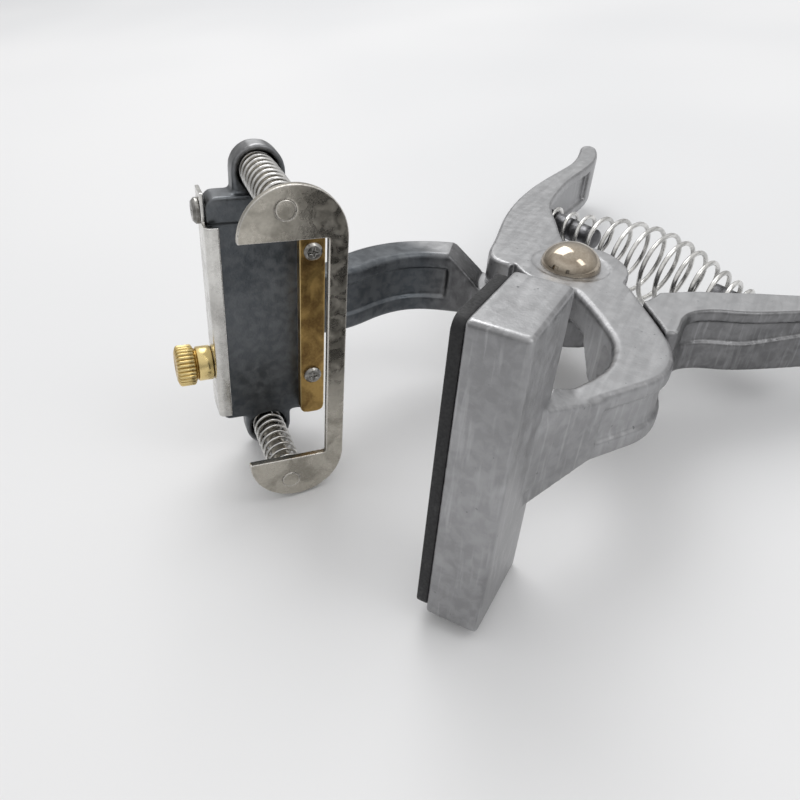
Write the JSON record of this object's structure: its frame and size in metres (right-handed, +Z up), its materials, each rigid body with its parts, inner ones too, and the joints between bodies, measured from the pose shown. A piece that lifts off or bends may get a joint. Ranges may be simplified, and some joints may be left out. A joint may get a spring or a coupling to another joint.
{
  "type": "ear tag applicator",
  "caption": "Livestock ear tattoo pliers: crossing cast levers, number tray with sprung release plate and gate, rubber-faced anvil, return spring.",
  "frame": {"origin": "on the pivot rivet's axis at half the height of the castings", "axes": "+Z up the pivot rivet towards its domed head, +Y from the pivot towards the handle of the anvil lever, +X from the jaw opening towards the anvil's back"},
  "size_m": [0.2228, 0.2462, 0.095],
  "materials": {
    "cast_aluminium": "tumbled and partly linished die casting",
    "black_rubber": "matt",
    "nickel_plate": "warm nickel plating on sheet steel",
    "nickel_rivet": "polished nickel",
    "brass": "turned and sawn, slightly dull",
    "screw_steel": "plated screws",
    "spring_steel": "bright drawn wire",
    "peg_steel": "turned steel"
  },
  "bodies": {
    "anvil_side": {"anvil_lever": "cast_aluminium", "rubber_pad": "black_rubber", "pivot_rivet": "nickel_rivet", "pivot_washer": "nickel_plate", "spring_peg_anvil_side": "peg_steel", "return_spring": "spring_steel"},
    "tray_side": {"tray_lever": "cast_aluminium", "number_rail": "brass", "rail_screws": "screw_steel", "gate_screw": "screw_steel", "spring_peg_tray_side": "peg_steel", "plate_spring_upper": "spring_steel", "plate_spring_lower": "spring_steel"},
    "plate_group": {"release_plate": "nickel_plate", "guide_pin_upper": "screw_steel", "guide_pin_lower": "screw_steel", "pin_clip_upper": "peg_steel", "pin_clip_lower": "peg_steel"},
    "gate": {"gate": "nickel_plate"},
    "thumbscrew": {"thumbscrew": "brass"}
  },
  "joints": [
    {"name": "jaw_hinge", "type": "hinge", "parent": "anvil_side", "child": "tray_side", "pos_m": [0, 0, 0], "axis": [0, 0, 1], "range_deg": [0, 40.7], "deforming": ["return_spring"]},
    {"name": "plate_slide", "type": "slide", "parent": "tray_side", "child": "plate_group", "axis": [-0.7581, 0.6521, 0], "range_m": [0, 0.0144], "deforming": ["plate_spring_upper", "plate_spring_lower"]},
    {"name": "gate_swing", "type": "hinge", "parent": "tray_side", "child": "gate", "pos_m": [-0.08159, -0.07492, 0.0306], "axis": [-0.6521, -0.7581, 0], "range_deg": [0, 75]},
    {"name": "thumbscrew_turn", "type": "hinge", "parent": "tray_side", "child": "thumbscrew", "pos_m": [-0.08159, -0.07492, -0.0156], "axis": [-0.6521, -0.7581, 0], "range_deg": [0, 1080]}
  ],
  "couplings": [
    {"joint": "plate_slide", "follows": "jaw_hinge", "m_per_rad": 0.020272}
  ]
}
